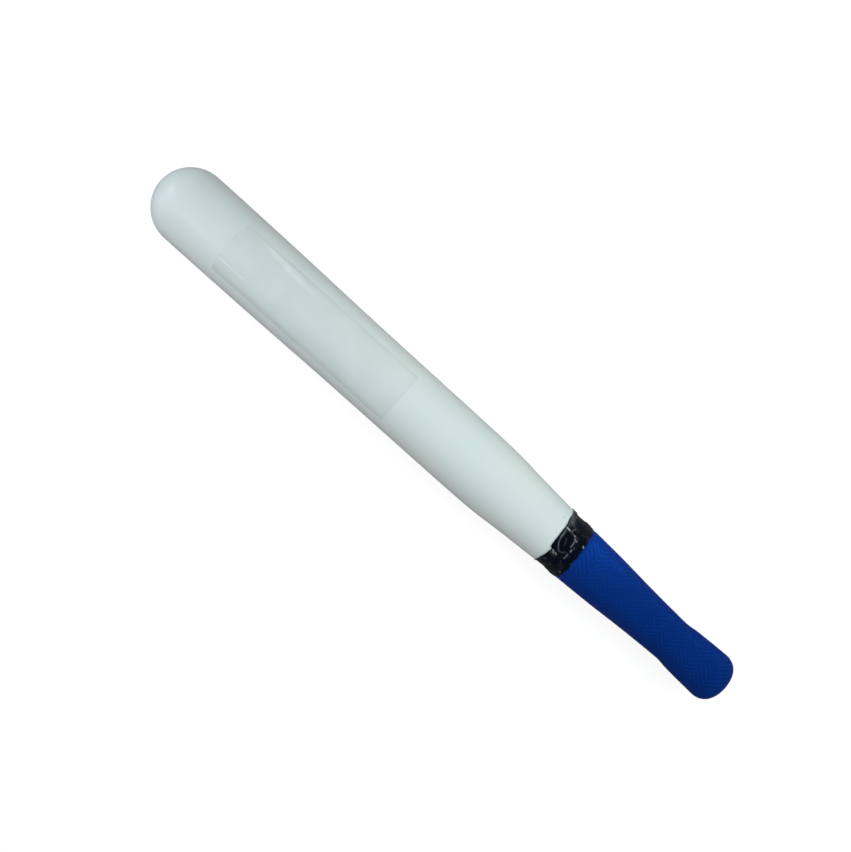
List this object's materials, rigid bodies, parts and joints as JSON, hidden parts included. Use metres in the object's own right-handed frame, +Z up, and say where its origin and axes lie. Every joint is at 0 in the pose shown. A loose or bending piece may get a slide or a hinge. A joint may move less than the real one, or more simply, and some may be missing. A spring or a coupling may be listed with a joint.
{
  "type": "rounders bat",
  "caption": "Short one-piece turned wooden bat with a domed barrel, a ribbed rubber grip sleeve that ends in a rounded knob, a black tape binding and a bare clear label film.",
  "frame": {"origin": "on the floor, under the middle of the lying bat", "axes": "+X runs along the bat from its domed tip towards its butt, +Z is up, and +Y is across the bat"},
  "size_m": [0.46, 0.05, 0.0499],
  "materials": {
    "lacquered_wood": "off-white gloss lacquer",
    "grip_rubber": "moulded, satin",
    "tape_plastic": "glossy, slightly wrinkled",
    "clear_film": "clear gloss"
  },
  "bodies": {
    "root": {"bat_body": "lacquered_wood", "grip_sleeve": "grip_rubber", "binding_tape": "tape_plastic", "label_film": "clear_film"}
  },
  "joints": []
}
